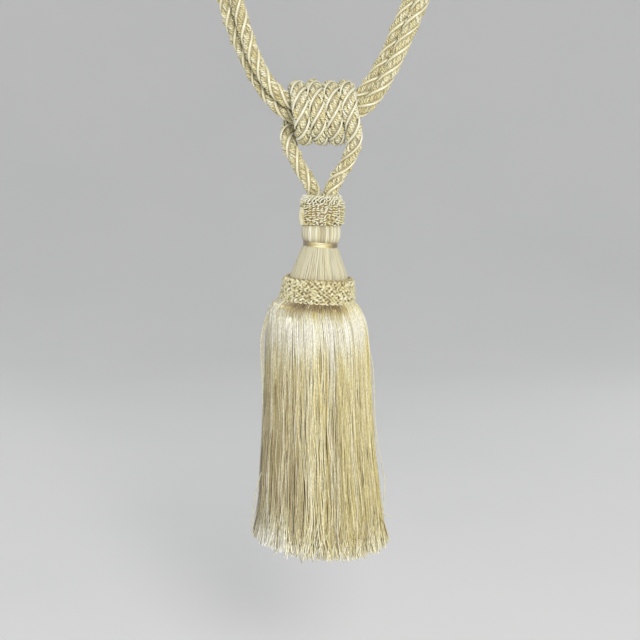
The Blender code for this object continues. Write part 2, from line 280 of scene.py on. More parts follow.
class Heap:
    """Tubes and skins gathered for one mesh. Each point has a place on its yarn, a tone and a tint."""

    def __init__(self):
        self.points = []
        self.faces = []
        self.sizes = []
        self.looks = []
        self.places = []
        self.tones = []
        self.tints = []
        self.total = 0

    def add(self, points, quads, caps, places, tones, tints, look):
        self.points.append(points.reshape(-1, 3))
        for faces in (quads.reshape(-1, 4), caps):
            self.faces.append((faces + self.total).ravel())
            self.sizes.append(np.full(len(faces), faces.shape[1]))
            self.looks.append(np.full(len(faces), look))
        self.places.append(places.reshape(-1, 3))
        self.tones.append(tones.ravel())
        self.tints.append(tints.ravel())
        self.total += len(self.points[-1])

    def tubes(
        self, lines, radii, sides, tones=0.5, tints=0.5, look=0, outward=None, flatness=1.0, painted_shade=None
    ):
        """A closed tube along each line.

        Radii, tones and tints are one for all, or by line and ring. An oval tube is flat towards outward.
        A function given as the last argument says how far out points lie, and shade is painted on what is
        sunk in a groove.
        """
        count, rings, _ = lines.shape
        tangent, across, over = carried_frames(lines)
        if outward is not None:
            across = unit(outward - (outward * tangent).sum(-1, keepdims=True) * tangent)
            over = np.cross(tangent, across)
        angle = TAU * np.arange(sides) / sides
        cos, sin = np.cos(angle), np.sin(angle)
        ring = flatness * across[:, :, None] * cos[:, None] + over[:, :, None] * sin[:, None]
        radii = np.broadcast_to(radii, (count, rings))
        points = lines[:, :, None] + radii[:, :, None, None] * ring
        shape = (count, rings, sides)
        places = np.empty(shape + (3,))
        places[..., 0] = cos
        places[..., 1] = sin
        places[..., 2] = run_of(lines)[:, :, None] + random.random(size=(count, 1, 1))
        tones = np.broadcast_to(np.broadcast_to(tones, (count, rings))[:, :, None], shape)
        tints = np.broadcast_to(np.broadcast_to(tints, (count, rings))[:, :, None], shape)
        if painted_shade is not None:
            # Shade is painted on what is sunk, as the function given says.
            tones = tones * painted_shade(points)
        number = np.arange(count * rings * sides).reshape(shape)
        near, far = number[:, :-1], number[:, 1:]
        quads = np.stack([near, np.roll(near, -1, 2), np.roll(far, -1, 2), far], axis=-1)
        caps = np.concatenate([number[:, 0, ::-1], number[:, -1]])
        self.add(points, quads, caps, places, tones, tints, look)

    def skin(self, grid, look):
        """A closed surface over rings of points, grid[ring, side], for a look with no tone or tint."""
        rings, sides, _ = grid.shape
        number = np.arange(rings * sides).reshape(rings, sides)
        near, far = number[:-1], number[1:]
        quads = np.stack([far, np.roll(far, -1, 1), np.roll(near, -1, 1), near], axis=-1)
        caps = np.stack([number[0], number[-1, ::-1]])
        blank = np.zeros((rings, sides))
        self.add(grid, quads, caps, np.zeros(grid.shape), blank, blank, look)

    def piece(self, name, materials):
        """All that was gathered, as one object."""
        mesh = bpy.data.meshes.new(name)
        corners = np.concatenate(self.faces)
        sizes = np.concatenate(self.sizes)
        mesh.vertices.add(self.total)
        mesh.vertices.foreach_set("co", np.concatenate(self.points).astype(np.float32).ravel())
        mesh.loops.add(len(corners))
        mesh.loops.foreach_set("vertex_index", corners.astype(np.int32))
        mesh.polygons.add(len(sizes))
        starts = np.concatenate([[0], np.cumsum(sizes)[:-1]])
        mesh.polygons.foreach_set("loop_start", starts.astype(np.int32))
        mesh.polygons.foreach_set("material_index", np.concatenate(self.looks).astype(np.int32))
        mesh.update(calc_edges=True)
        mesh.validate()
        place = mesh.attributes.new("place", "FLOAT_VECTOR", "POINT")
        place.data.foreach_set("vector", np.concatenate(self.places).astype(np.float32).ravel())
        for kind, values in (("tone", self.tones), ("tint", self.tints)):
            attribute = mesh.attributes.new(kind, "FLOAT", "POINT")
            attribute.data.foreach_set("value", np.concatenate(values).astype(np.float32))
        mesh.shade_smooth()
        mesh.set_sharp_from_angle(angle=SHARP_EDGE)
        for material in materials:
            mesh.materials.append(material)
        made = bpy.data.objects.new(name, mesh)
        bpy.context.scene.collection.objects.link(made)
        return made


def dress(piece, node=None):
    """The piece rides on the one body and may stand for a CAD node, which is then hidden."""
    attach(piece, "root")
    if node:
        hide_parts(node)
    return piece


# --- Materials ---

COAT_ROUGHNESS = 0.28


def colour(red, green, blue):
    return (red, green, blue, 1.0)


class Look:
    """A node material that is put together step by step."""

    def __init__(self, name, roughness, specular=0.5, coat=0.0):
        self.material = bpy.data.materials.new(name)
        self.material.use_nodes = True
        self.nodes = self.material.node_tree.nodes
        self.links = self.material.node_tree.links
        self.shader = self.nodes["Principled BSDF"]
        self.shader.inputs["Roughness"].default_value = roughness
        self.shader.inputs["Specular IOR Level"].default_value = specular
        self.shader.inputs["Coat Weight"].default_value = coat
        self.shader.inputs["Coat Roughness"].default_value = COAT_ROUGHNESS

    def node(self, kind, **inputs):
        """A new node. An input is given by its name, or by its number as in i0."""
        made = self.nodes.new(kind)
        for name, value in inputs.items():
            self.feed(made, name, value)
        return made

    def feed(self, node, name, value):
        place = int(name[1:]) if name[0] == "i" and name[1:].isdigit() else name.replace("_", " ")
        if isinstance(value, bpy.types.NodeSocket):
            self.links.new(value, node.inputs[place])
        else:
            node.inputs[place].default_value = value

    def math(self, operation, first, second=0.0):
        made = self.node("ShaderNodeMath", i0=first, i1=second)
        made.operation = operation
        return made.outputs[0]

    def attribute(self, name, output):
        made = self.node("ShaderNodeAttribute")
        made.attribute_name = name
        return made.outputs[output]

    def dye_and_painted_light(self):
        """The yarn's colour from its tone and its tint: its dye, with the painted light and shade that the
        tone carries.
        """
        tone, tint = self.attribute("tone", "Fac"), self.attribute("tint", "Fac")
        return self.mix(tint, self.ramp(tone, *GREY_YARNS), self.ramp(tone, *GOLDEN_YARNS))

    def place(self):
        """The yarn's own coordinates: cosine and sine round it, and the distance along it."""
        split = self.node("ShaderNodeSeparateXYZ", i0=self.attribute("place", "Vector"))
        return tuple(split.outputs)

    def ramp(self, factor, *stops):
        """A colour between stops, each given as its position and its colour."""
        made = self.node("ShaderNodeValToRGB", i0=factor)
        elements = made.color_ramp.elements
        while len(elements) < len(stops):
            elements.new(0.5)
        for element, (position, value) in zip(elements, stops):
            element.position = position
            element.color = value
        return made.outputs[0]

    def mix(self, factor, first, second, blend="MIX"):
        made = self.node("ShaderNodeMix")
        made.data_type = "RGBA"
        made.blend_type = blend
        self.feed(made, "i0", factor)
        self.feed(made, "i6", first)
        self.feed(made, "i7", second)
        return made.outputs[2]

    def noise(self, scale):
        """Noise over the object's own coordinates."""
        coordinates = self.node("ShaderNodeTexCoord").outputs["Object"]
        made = self.node("ShaderNodeTexNoise", Vector=coordinates, Scale=scale, Detail=2.0)
        return made.outputs["Fac"]

    def twist(self, lay):
        """The ridges of a yarn of two twisted strands, from -1 to 1."""
        cos, sin, run = self.place()
        half_sine = self.math("MULTIPLY", cos, sin)
        sine = self.math("MULTIPLY", half_sine, 2.0)
        cosine = self.math("SUBTRACT", self.math("MULTIPLY", cos, cos), self.math("MULTIPLY", sin, sin))
        turn = self.math("MULTIPLY", run, 2 * TAU / lay)
        first = self.math("MULTIPLY", sine, self.math("COSINE", turn))
        second = self.math("MULTIPLY", cosine, self.math("SINE", turn))
        return self.math("ADD", first, second)

    def filaments(self, scale, along):
        """Fine noise round the yarn and, by so much, along it."""
        cos, sin, run = self.place()
        streak = self.node("ShaderNodeCombineXYZ", i0=cos, i1=sin, i2=self.math("MULTIPLY", run, along))
        made = self.node("ShaderNodeTexNoise", Vector=streak.outputs[0], Scale=scale, Detail=2.0)
        return made.outputs["Fac"]

    def paint(self, value):
        self.feed(self.shader, "Base Color", value)

    def paint_streaked(self, streaks, share):
        """The yarn's colour, with its painted light and shade, paler along its streaks."""
        self.paint(self.mix(self.math("MULTIPLY", streaks, share), self.dye_and_painted_light(), PALE))

    def bump(self, height, distance):
        made = self.node("ShaderNodeBump", Height=height, Distance=distance, Strength=1.0)
        self.links.new(made.outputs[0], self.shader.inputs["Normal"])


# One family of dye colours, from the grooves to the brightest threads, which also carries the painted shade
# and highlights: the greyer yarns and the more golden ones.
GREY_YARNS = (
    (0.00, colour(0.100, 0.072, 0.040)),
    (0.28, colour(0.285, 0.220, 0.138)),
    (0.55, colour(0.442, 0.400, 0.260)),
    (0.80, colour(0.650, 0.626, 0.465)),
    (1.00, colour(0.860, 0.853, 0.765)),
)
GOLDEN_YARNS = (
    (0.00, colour(0.130, 0.080, 0.030)),
    (0.28, colour(0.360, 0.268, 0.112)),
    (0.55, colour(0.585, 0.482, 0.188)),
    (0.80, colour(0.745, 0.666, 0.322)),
    (1.00, colour(0.865, 0.816, 0.545)),
)
PALE = colour(0.90, 0.88, 0.76)
# Dark grounds under plies and threads, which show only in the gaps as painted shade.
DARK_OLIVE = colour(0.310, 0.268, 0.168)
LIGHT_OLIVE = colour(0.460, 0.412, 0.275)
TAN_BROWN = colour(0.240, 0.170, 0.090)
LIGHT_TAN = colour(0.380, 0.300, 0.170)
# What a yarn's colour is multiplied by between its ridges, as painted shade, and on them, as a painted
# highlight, and in its flecks.
RIDGE_GAP_PAINTED_SHADE = colour(0.72, 0.70, 0.65)
RIDGE_TOP_PAINTED_HIGHLIGHT = colour(1.15, 1.15, 1.13)
FLECK_DARK = colour(0.50, 0.47, 0.42)
FLECK_LIGHT = colour(1.40, 1.40, 1.41)


def crimped_yarn():
    look = Look("crimped_yarn", roughness=0.38, specular=0.5)
    fleck = look.filaments(3.0, along=900.0)
    ridges = look.twist(3.8 * MM)
    ridges_and_flecks = look.math("MULTIPLY", look.math("ADD", ridges, fleck), 0.6)
    # Painted shade between the yarn's ridges and a painted highlight on them.
    shades = look.ramp(ridges_and_flecks, (0.0, RIDGE_GAP_PAINTED_SHADE), (0.8, RIDGE_TOP_PAINTED_HIGHLIGHT))
    look.paint(look.mix(1.0, look.dye_and_painted_light(), shades, "MULTIPLY"))
    look.bump(ridges_and_flecks, 0.35 * MM)
    return look.material


def gloss_yarn():
    look = Look("gloss_yarn", roughness=0.30, specular=0.6, coat=0.3)
    streaks = look.filaments(2.2, along=50.0)
    look.paint_streaked(streaks, 0.35)
    look.bump(streaks, 0.10 * MM)
    return look.material


def neck_silk():
    look = Look("neck_silk", roughness=0.36, specular=0.6)
    streaks = look.filaments(3.0, along=40.0)
    look.paint_streaked(streaks, 0.25)
    look.bump(look.twist(1.6 * MM), 0.05 * MM)
    return look.material


def tie_silk():
    look = Look("tie_silk", roughness=0.32, specular=1.0, coat=0.3)
    streaks = look.filaments(2.5, along=90.0)
    look.paint_streaked(streaks, 0.15)
    look.bump(look.twist(2.0 * MM), 0.05 * MM)
    return look.material


def gimp_yarn():
    look = Look("gimp_yarn", roughness=0.40, specular=0.45)
    fleck = look.filaments(3.0, along=1200.0)
    look.paint_streaked(fleck, 0.15)
    look.bump(look.math("ADD", look.twist(1.8 * MM), fleck), 0.14 * MM)
    return look.material


def painted_shade_ground(name, low=TAN_BROWN, high=LIGHT_TAN):
    """A dark ground that shows between the plies or threads: painted shade in the gaps."""
    look = Look(name, roughness=0.75)
    look.paint(look.ramp(look.noise(500.0), (0.3, low), (0.7, high)))
    look.bump(look.noise(1500.0), 0.2 * MM)
    return look.material


def skirt_silk(name):
    look = Look(name, roughness=0.36, specular=0.6, coat=0.45)
    flecks = look.math("SUBTRACT", look.filaments(2.5, along=210.0), 0.34)
    shades = look.ramp(look.math("MULTIPLY", flecks, 3.2), (0.0, FLECK_DARK), (1.0, FLECK_LIGHT))
    look.paint(look.mix(1.0, look.dye_and_painted_light(), shades, "MULTIPLY"))
    look.bump(look.twist(2.6 * MM), 0.10 * MM)
    return look.material


# --- Ropes ---

# The order of a rope's materials.
CRIMPED, GLOSS, CORE = range(3)


def hanger_route():
    """Up the left leg and behind the knot, round it over the top, and down the front as the right leg."""
    turns = []
    first, last = -KNOT_STEPS // 4, KNOT_TURNS * KNOT_STEPS - 3 * KNOT_STEPS // 4
    for step in range(first, last + 1):
        turn = step / KNOT_STEPS
        angle = TAU * turn
        x = KNOT_FIRST_TOP + KNOT_PITCH * turn
        turns.append((x, -KNOT_HALF_DEPTH * math.sin(angle), KNOT_HALF_HEIGHT * math.cos(angle)))
    return [*LEFT_LEG, *turns, *RIGHT_LEG]


def laid_plies(centre, turns, place, phase, swell):
    """The plies that lie at this distance from the rope's line, and what is outward on each."""
    _, across, over = carried_frames(centre)
    angles = TAU * (turns[None] + (np.arange(PLIES)[:, None] + phase) / PLIES)
    outward = np.cos(angles)[..., None] * across + np.sin(angles)[..., None] * over
    return centre + place * outward * swell, outward


def wound_share(centre):
    """How far the rope is wound round the knot's core at each point, from 0 to 1."""
    from_core = np.linalg.norm(centre[:, 1:], axis=-1)
    return np.clip((KNOT_HALF_HEIGHT + ROPE_DIAMETER - from_core) / ROPE_DIAMETER, 0, 1)


def painted_groove_shade(centre, groove_to_crest, darkest):
    """A function that paints shade on what lies deep between the plies of a rope with this line."""

    def painted_shade(points):
        reach = np.linalg.norm(points - centre[:, None], axis=-1)
        return np.interp(reach, groove_to_crest, (darkest, 1))

    return painted_shade


def crimped_plies(heap, centre, turns, swell, wound, lump, sides):
    """Plies of uneven yarns twisted round each other. Lump is in rings."""
    rings = len(centre)
    plies, outward = laid_plies(centre, turns, PLY_PLACE, 0.0, swell)
    heading = unit(np.gradient(plies, axis=1))
    sideways = np.cross(heading, outward)
    run = run_of(plies)
    painted_shade = painted_groove_shade(centre, PLY_GROOVE_TO_CREST, PLY_PAINTED_GROOVE_TONE)
    tone, wound_tone, tone_spread = YARN_TONE
    tint, tint_spread = YARN_TINT
    for yarn in range(PLY_YARNS):
        swing = YARN_SWING * wander(PLIES, rings, rings // (2 * lump))
        angle = (-TAU * (run / YARN_LAY + yarn / PLY_YARNS) + swing)[..., None]
        lift = YARN_PLACE * (1 + YARN_PLACE_SPREAD * wander(PLIES, rings, rings // lump))[..., None]
        lines = plies + lift * (np.cos(angle) * outward + np.sin(angle) * sideways)
        radii = YARN_RADIUS * (1 + YARN_RADIUS_SPREAD * wander(PLIES, rings, rings // lump))
        tones = tone + wound_tone * wound + tone_spread * wander(PLIES, rings, rings // lump)
        tints = tint + tint_spread * wander(PLIES, rings, rings // (4 * lump))
        heap.tubes(lines, radii, sides, tones, tints, CRIMPED, painted_shade=painted_shade)


def gloss_plies(heap, centre, turns, swell, wound, lump, sides):
    """Smooth, slightly flattened plies in the grooves between the crimped ones."""
    rings = len(centre)
    plies, outward = laid_plies(centre, turns, GLOSS_PLACE, 0.5, swell)
    width = GLOSS_RADIUS * (1 + GLOSS_RADIUS_SPREAD * wander(PLIES, rings, rings // (3 * lump)))
    width = width * (1 - WOUND_GLOSS_NARROWER * wound)
    tones = GLOSS_TONE[0] + GLOSS_TONE[1] * wound
    tints = GLOSS_TINT[0] + GLOSS_TINT[1] * wound
    painted_shade = painted_groove_shade(centre, GLOSS_GROOVE_TO_CREST, GLOSS_PAINTED_GROOVE_TONE)
    heap.tubes(plies, width, sides, tones, tints, GLOSS, outward, GLOSS_FLATNESS, painted_shade)


def rope(name, node, route, ring, yarn_sides, gloss_sides, materials, lay, wound_lay=None):
    """A rope along a route given from the knot's centre, and its path.

    Where it is wound round the knot it has a lay of its own. Without one it only passes through.
    """
    centre = smooth_path(route, ring)
    wound = wound_share(centre)
    if wound_lay is None:
        wound = np.zeros(len(centre))
        wound_lay = lay
    turns = np.cumsum(ring * ((1 - wound) / lay + wound / wound_lay))
    swell = 1 + KNOT_SQUEEZE * wound[:, None] * np.array((1, 0, 0))
    centre[:, 2] -= KNOT_DROP
    lump = round(LUMP / ring)
    heap = Heap()
    crimped_plies(heap, centre, turns, swell, wound, lump, yarn_sides)
    gloss_plies(heap, centre, turns, swell, wound, lump, gloss_sides)
    heap.tubes(centre[None, ::CORE_RINGS_APART], CORE_RADIUS, CORE_SIDES, look=CORE)
    piece = dress(heap.piece(name, materials), node)
    return piece, resampled(centre, PATH_STEP)


def make_ropes():
    materials = [crimped_yarn(), gloss_yarn(), painted_shade_ground("rope_core", DARK_OLIVE, LIGHT_OLIVE)]
    embrace, path = rope(
        "embrace_strands", "embrace_rope", EMBRACE_ROUTE, EMBRACE_RING, 5, 7, materials, EMBRACE_LAY
    )
    hanger, path = rope(
        "hanger_strands", "hanger_cord", hanger_route(), HANGER_RING, 6, 10, materials, LEG_LAY, KNOT_LAY
    )


# --- Tassel ---

# The order of the materials of what is wound or sewn round a mould.
THREAD, GROUND, SMOOTH = range(3)
THREAD_SIDES = 6


def drift_at(drop):
    """How far right the tassel's axis lies at this drop."""
    return np.interp(drop, *zip(*DRIFT))


def tip_at(drop):
    """How much lower a metre further right is at this drop."""
    return np.interp(drop, *zip(*TIP))


def hung(angle, radius, drop):
    """Points of the tassel at these angles round its axis, where it really hangs."""
    angle, radius, drop = np.broadcast_arrays(angle, radius, drop)
    x = radius * np.cos(angle)
    y = radius * np.sin(angle)
    z = -KNOT_DROP - drop - tip_at(drop) * x
    return np.stack([x + drift_at(drop), y, z], axis=-1)


def down(outline, rings):
    """Radius and drop at evenly spaced points along an outline."""
    outline = np.array(outline, float)
    run = run_of(outline)
    marks = np.linspace(0, run[-1], rings)
    return np.interp(marks, run, outline[:, 0]), np.interp(marks, run, outline[:, 1])


def painted_shade_over(outline, low, high):
    """A function that says how far points stand out over a turned outline, 0 at low and 1 at high, to paint
    shade on what is sunk.
    """
    outline = np.array(outline, float)

    def painted_shade(points):
        drop = -KNOT_DROP - points[..., 2]
        reach = np.hypot(points[..., 0] - drift_at(drop), points[..., 1])
        return np.interp(reach - np.interp(drop, outline[:, 1], outline[:, 0]), (low, high), (0, 1))

    return painted_shade


def turned(heap, outline, rings, sides):
    """The plain form that shows between the threads or loops on it."""
    radius, drop = down(outline, rings)
    angle = TAU * np.arange(sides) / sides
    heap.skin(hung(angle[None], radius[:, None], drop[:, None]), GROUND)


def upright_threads(heap, outline, rings, count, thickness, sway, tone, spread, painted_sheen_streaks, painted_end_shade):
    """Fine threads laid side by side down a turned form. Painted sheen streaks run round it, sunk threads
    have painted shade, and both ends have painted shade where the form turns away.
    """
    radius, drop = down(outline, rings)
    angle = TAU * (np.arange(count) + 0.25 * random.normal(size=count)) / count
    swayed = sway * wander(count, rings, 5)
    proud = scatter(count)
    lines = hung(angle[:, None] + swayed / radius, radius + 0.18 * thickness * proud, drop[None])
    width = thickness * (1 + 0.10 * scatter(count))
    # Painted sheen streaks, with painted shade between them: five wide ones round the form and finer ones.
    uneven = painted_sheen_streaks * np.sin(5 * angle - 0.8) + 0.5 * painted_sheen_streaks * np.sin(31 * angle + 3.0)
    # A random tone for each thread, lighter where it stands out: painted shade on sunk threads.
    each = spread * np.clip(0.6 * proud + 0.8 * scatter(count), -1.6, 1.8)
    # Painted shade at both ends of the threads.
    tones = tone + uneven[:, None] + each - painted_end_shade * np.abs(np.linspace(-1, 1, rings)) ** 3
    tints = 0.20 + 0.15 * scatter(count)
    heap.tubes(lines, width, THREAD_SIDES, np.clip(tones, 0, 1), np.clip(tints, 0, 1), THREAD)


def make_bead(materials):
    """The short barrel under the ruff, covered in upright silk threads."""
    heap = Heap()
    turned(heap, BEAD_OUTLINE, 16, 48)
    upright_threads(
        heap, BEAD_OUTLINE, rings=18, count=132, thickness=0.42 * MM, sway=0.10 * MM,
        tone=0.74, spread=0.18, painted_sheen_streaks=0.045, painted_end_shade=0.45,
    )
    dress(heap.piece("bead_silk", materials), "neck_bead")


def make_cone(materials):
    """The conical mould, covered in fine yarns."""
    heap = Heap()
    turned(heap, CONE_OUTLINE, 14, 48)
    upright_threads(
        heap, CONE_OUTLINE, rings=20, count=156, thickness=0.45 * MM, sway=0.16 * MM,
        tone=0.645, spread=0.06, painted_sheen_streaks=0.01, painted_end_shade=0.08,
    )
    dress(heap.piece("cone_silk", materials), "cone")


def make_tie(material):
    """The binding between bead and cone: rings of silk with a painted highlight in front and painted shade
    at its sides, three times round.
    """
    heap = Heap()
    angle = TAU * np.arange(TIE_POINTS + 1) / TIE_POINTS
    # A painted highlight in front and painted shade at the sides, three times round.
    tones = TIE_TONE + TIE_PAINTED_HIGHLIGHT * np.sin(3 * angle)
    for thread, drop in enumerate(np.linspace(*TIE_DROP, TIE_THREADS)):
        wave = 0.10 * MM * np.sin(5 * angle + 2 * thread)
        heap.tubes(hung(angle, TIE_RADIUS, drop + wave)[None], TIE_THREAD, 8, tones[None], tints=0.9)
    dress(heap.piece("tie_threads", [material]), "tie_band")


RUFF_COLUMNS = 32
RUFF_ROWS = 16
RUFF_YARN = 0.56 * MM
# Down to the first of these rows the loops slant, and from the second on they don't.
RUFF_SLANTED_TO, RUFF_LEVEL_FROM = 5, 9
RUFF_SLANT = 0.90
RUFF_LOOP_CHORD = 2.1 * MM
RUFF_LOOP_STAND = 1.35 * MM
RUFF_LOOP_SUNK = 0.9 * MM
# The loops at the right edge, by the cosine of their place round the ruff, stand out further.
RUFF_EDGE = 0.90
RUFF_EDGE_STAND = 1.3 * MM
RUFF_TAN_SHARE = 0.30
RUFF_STRANDS = 9
RUFF_PLY = 0.34 * MM
RUFF_PLY_PLACE = 0.32 * MM
RUFF_PLY_LAY = 2.1 * MM
RUFF_POINTS = 40
RUFF_END_AT = math.radians(204)
RUFF_END_HALF_WIDTH = 2.3 * MM
RUFF_END_FLATNESS = 0.42


def small_loops(angle, radius, drop, tilt, chord, stand):
    """Short loops, a little over half a circle, that stand out of a turned form along a tilted chord."""
    turn = np.linspace(-0.10 * math.pi, 1.10 * math.pi, 9)
    along = -0.5 * chord[:, None] * np.cos(turn)
    out = stand[:, None] * np.sin(turn)
    around = along * np.cos(tilt)[:, None] / radius[:, None]
    rise = along * np.sin(tilt)[:, None]
    return hung(angle[:, None] + around, radius[:, None] + out, drop[:, None] - rise)


def twisted(line, place, lay):
    """Two strands twisted round each other along a line."""
    _, across, over = carried_frames(line[None])
    turn = TAU * run_of(line) / lay
    sweep = np.cos(turn)[:, None] * across[0] + np.sin(turn)[:, None] * over[0]
    return np.stack([line + place * sweep, line - place * sweep])


def ruff_loops(heap):
    """Small loops of gimp in columns. They slant and alternate at the top, and some columns are tan."""
    # Painted shade on loops sunk towards the ground.
    painted_shade = painted_shade_over(RUFF_COLUMN, -2.6 * MM, 0.7 * MM)
    radius, drop = down(RUFF_COLUMN, RUFF_ROWS)
    row, column = np.divmod(np.arange(RUFF_ROWS * RUFF_COLUMNS), RUFF_COLUMNS)
    count = len(row)
    slant = np.clip((RUFF_LEVEL_FROM - row) / (RUFF_LEVEL_FROM - RUFF_SLANTED_TO), 0, 1)
    leaning = (0.28 * random.normal(size=RUFF_COLUMNS))[column]
    tilt = RUFF_SLANT * slant + (1 - slant) * leaning + 0.35 * random.normal(size=count)
    shift = 0.5 * slant * (row % 2) + 0.12 * random.normal(size=count) + 0.10 * np.sin(0.9 * row + column)
    angle = TAU * (column + shift) / RUFF_COLUMNS
    chord = RUFF_LOOP_CHORD + (0.2 * slant + 0.30 * random.normal(size=count)) * MM
    stand = RUFF_LOOP_STAND + 0.28 * MM * random.normal(size=count)
    base = radius[row] - RUFF_LOOP_SUNK - 0.25 * MM * random.normal(size=count)
    staggered = random.random(size=RUFF_COLUMNS)[column] * (1 - slant)
    low = drop[row] + (1.3 * staggered - 0.65 + 0.25 * random.normal(size=count)) * MM
    tan = (random.random(size=RUFF_COLUMNS) < RUFF_TAN_SHARE)[column] * (1 - slant)
    tones = 1.04 - 0.20 * tan + 0.10 * random.normal(size=count)
    tints = 0.58 - 0.08 * slant + 0.35 * tan + 0.15 * random.normal(size=count)
    edge = (np.cos(angle) > RUFF_EDGE) & (row >= RUFF_SLANTED_TO) & (row % 2 == 0)
    lines = small_loops(angle, base, low, np.where(edge, 0.1, tilt), chord, stand + RUFF_EDGE_STAND * edge)
    tints = np.clip(tints, 0, 1)
    heap.tubes(lines, RUFF_YARN, 6, tones[:, None], tints[:, None], THREAD, painted_shade=painted_shade)


def ruff_top(heap):
    """Strands of two twisted plies that arch over the ruff's upper edge, in towards the legs."""
    part = np.linspace(0, 1, RUFF_POINTS)
    arch = np.sin(math.pi * part)
    for strand in range(RUFF_STRANDS):
        start = TAU * (strand + 0.6 * random.random()) / RUFF_STRANDS
        spread = (0.40 + 0.55 * random.random()) * random.choice((-1, 1))
        angle = start + spread * part + 0.05 * np.sin(11 * part + strand)
        inward = (5.4 - 3.4 * abs(math.cos(start)) + 1.0 * random.random()) * MM
        radius = (15.6 + 0.4 * random.random()) * MM - inward * arch**1.5
        ends = (66 + 3 * random.random()) * MM + 2 * MM * random.normal() * (part - 0.5)
        drop = ends - (ends - (60.8 + 2.2 * random.random()) * MM) * arch**0.8
        tone = 0.76 + 0.12 * random.random()
        plies = twisted(hung(angle, radius, drop), RUFF_PLY_PLACE, RUFF_PLY_LAY)
        heap.tubes(plies, RUFF_PLY, 5, tone, tints=0.3, look=THREAD)


def ruff_end(heap):
    """The flat, smooth end of the gimp, sewn down at the left of the ruff."""
    part = np.linspace(0, 1, RUFF_POINTS)
    arch = np.sin(math.pi * part)
    line = hung(RUFF_END_AT, (15.2 + 0.9 * arch) * MM, (69.5 + 12.5 * part) * MM)[None]
    outward = np.broadcast_to((-0.6, -0.8, 0.0), line.shape)
    heap.tubes(
        line, RUFF_END_HALF_WIDTH, sides=12, tones=0.76, tints=0.45,
        look=SMOOTH, outward=outward, flatness=RUFF_END_FLATNESS,
    )


def make_ruff(yarn, smooth, ground):
    """A collar of small loops of gimp round the foot of the hanger's two legs."""
    heap = Heap()
    turned(heap, RUFF_CORE, 12, 40)
    ruff_loops(heap)
    ruff_top(heap)
    ruff_end(heap)
    dress(heap.piece("ruff_gimp", [yarn, ground, smooth]), "ruff")


BRAID_COLUMNS = 45
BRAID_ROWS = 5
BRAID_TOP = 0.1228
BRAID_FOOT = 0.1384
# How far the yarns' middles stand out of the wall, and how far they go over and under from there.
BRAID_STAND = 0.55 * MM
BRAID_LIFT = 0.72 * MM
BRAID_YARN = 0.84 * MM
BRAID_TONE = 0.86
BRAID_TINT = 0.62
BRAID_POINTS = 60
BRAID_PAST_EDGE = 0.1
CHAIN_POINTS = 20


def chain(heap, radius, drop, place, pitches, thickness, tone):
    """Two yarns twisted round each other in a ring, with painted shade where they turn in."""
    angle = TAU * np.arange(CHAIN_POINTS * pitches + 1) / (CHAIN_POINTS * pitches)
    for phase in (0, math.pi):
        turn = pitches * angle + phase
        line = hung(angle, radius + place * np.cos(turn), drop + place * np.sin(turn))
        tones = tone * (0.78 + 0.22 * np.cos(turn))
        heap.tubes(line[None], thickness, 6, tones[None], tints=0.6, look=THREAD)


def braid(heap):
    """Gimp yarns that lean both ways and go over and under each other, once a row."""
    wall = np.array(BAND_WALL)
    # Painted shade on yarns sunk towards the wall.
    painted_shade = painted_shade_over(wall, -1.2 * MM, 2.1 * MM)
    row = np.linspace(-BRAID_PAST_EDGE, BRAID_ROWS + BRAID_PAST_EDGE, BRAID_POINTS)
    shape = BRAID_COLUMNS, BRAID_POINTS
    for lean in (-1, 1):
        start = np.arange(BRAID_COLUMNS)[:, None] + 0.12 * scatter(BRAID_COLUMNS)
        drop = BRAID_TOP + (BRAID_FOOT - BRAID_TOP) * row / BRAID_ROWS + 0.30 * MM * wander(*shape, 9)
        radius = np.interp(drop, wall[:, 1], wall[:, 0])
        lift = BRAID_STAND + lean * BRAID_LIFT * np.cos(TAU * row) + 0.26 * MM * wander(*shape, 11)
        angle = TAU * (start + lean * row + 0.20 * wander(*shape, 10)) / BRAID_COLUMNS
        width = BRAID_YARN * (1 + 0.18 * wander(*shape, 18))
        tones = BRAID_TONE + 0.13 * wander(*shape, 10)
        tints = BRAID_TINT + 0.12 * wander(*shape, 4)
        heap.tubes(hung(angle, radius + lift, drop), width, 7, tones, tints, THREAD, painted_shade=painted_shade)


def make_band(yarn, ground):
    """The wide gimp collar over the join of cone and skirt: a braid with corded edges."""
    heap = Heap()
    turned(heap, BAND_WALL, 14, 64)
    braid(heap)
    chain(heap, 0.0274, 0.1388, place=0.66 * MM, pitches=22, thickness=0.68 * MM, tone=0.92)
    chain(heap, 0.0238, 0.1224, place=0.90 * MM, pitches=18, thickness=0.62 * MM, tone=0.62)
    dress(heap.piece("band_gimp", [yarn, ground]), "gimp_band")


# The skirt's outline: (radius, drop).
OUTER_PROFILE = (
    (0.0258, 0.1372), (0.0284, 0.1390), (0.0330, 0.1425), (0.0359, 0.1495),
    (0.0379, 0.1600), (0.0389, 0.1740), (0.0400, 0.2000), (0.0412, 0.2300),
    (0.0430, 0.2560), (0.0451, 0.2830), (0.0472, 0.3080), (0.0484, 0.3240),
)
SKIRT_TOP = 0.150
SKIRT_FOOT = 0.3240
SKIRT_LAYERS = (
    # name, yarns, locks, how far inside the outer profile, rings, sides, how much painted shade it has for
    # lying further in
    ("skirt_outer", 620, 100, 0.0000, 30, 5, 0.00),
    ("skirt_second", 520, 75, 0.0011, 24, 4, 0.04),
    ("skirt_third", 400, 60, 0.0034, 18, 3, 0.16),
    ("skirt_inner", 240, 40, 0.0130, 14, 3, 0.35),
)
SKIRT_YARN = 0.30 * MM

